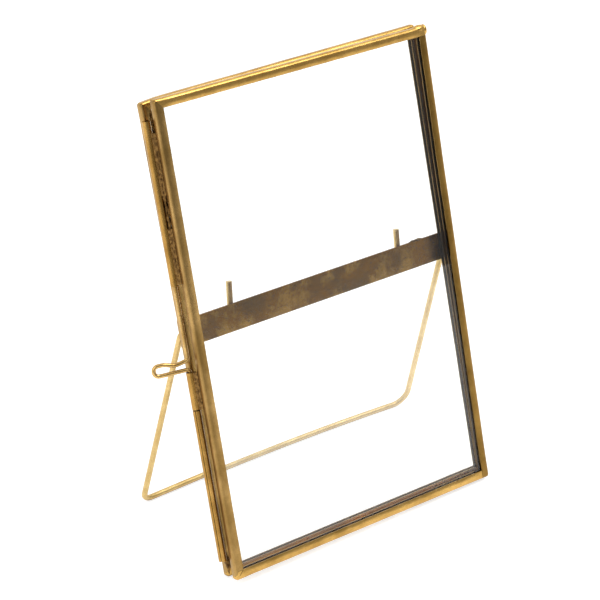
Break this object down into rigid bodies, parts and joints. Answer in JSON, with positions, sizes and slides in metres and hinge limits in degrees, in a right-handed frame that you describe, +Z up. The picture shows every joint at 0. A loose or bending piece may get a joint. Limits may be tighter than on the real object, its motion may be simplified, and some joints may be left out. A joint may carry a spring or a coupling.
{
  "type": "floating frame",
  "caption": "Tabletop floating photo frame: glazed brass leaves hinged on one side, latched by a sliding wire bolt on the other, with a folding wire stand behind.",
  "frame": {"origin": "on the table, under the middle of the whole outline's box as it stands with its stand open", "axes": "+Z up, +X to the right seen from the front, the display side faces -Y and leans back by 16.0 degrees"},
  "size_m": [0.1288, 0.0634, 0.1556],
  "materials": {
    "rim_brass": "aged satin",
    "tube_brass": "aged satin",
    "wire_brass": "satin",
    "bar_brass": "tarnished",
    "glass": "polished"
  },
  "bodies": {
    "back_leaf": {"back_glass": "glass", "back_top_channel": "rim_brass", "back_bottom_channel": "rim_brass", "back_left_channel": "rim_brass", "back_right_channel": "rim_brass", "cross_bar": "bar_brass", "left_stand_knuckle": "tube_brass", "right_stand_knuckle": "tube_brass", "lower_latch_tube": "tube_brass", "lower_hinge_knuckle": "tube_brass", "hinge_pin": "wire_brass"},
    "front_leaf": {"front_glass": "glass", "front_top_channel": "rim_brass", "front_bottom_channel": "rim_brass", "front_left_channel": "rim_brass", "front_right_channel": "rim_brass", "upper_latch_tube": "tube_brass", "middle_latch_tube": "tube_brass", "upper_hinge_knuckle": "tube_brass"},
    "latch": {"latch_bolt": "wire_brass"},
    "stand": {"stand_wire": "wire_brass"}
  },
  "joints": [
    {"name": "leaf_hinge", "type": "hinge", "parent": "back_leaf", "child": "front_leaf", "pos_m": [0.05749, -0.00438, 0.07661], "axis": [0.0113, 0.2756, 0.9612], "range_deg": [0, 175]},
    {"name": "bolt_slide", "type": "slide", "parent": "front_leaf", "child": "latch", "axis": [0.0113, 0.2756, 0.9612], "range_m": [0, 0.022]},
    {"name": "stand_fold", "type": "hinge", "parent": "back_leaf", "child": "stand", "pos_m": [0.00253, 0.00227, 0.0784], "axis": [-1, 0, 0], "range_deg": [0, 35.01]}
  ]
}
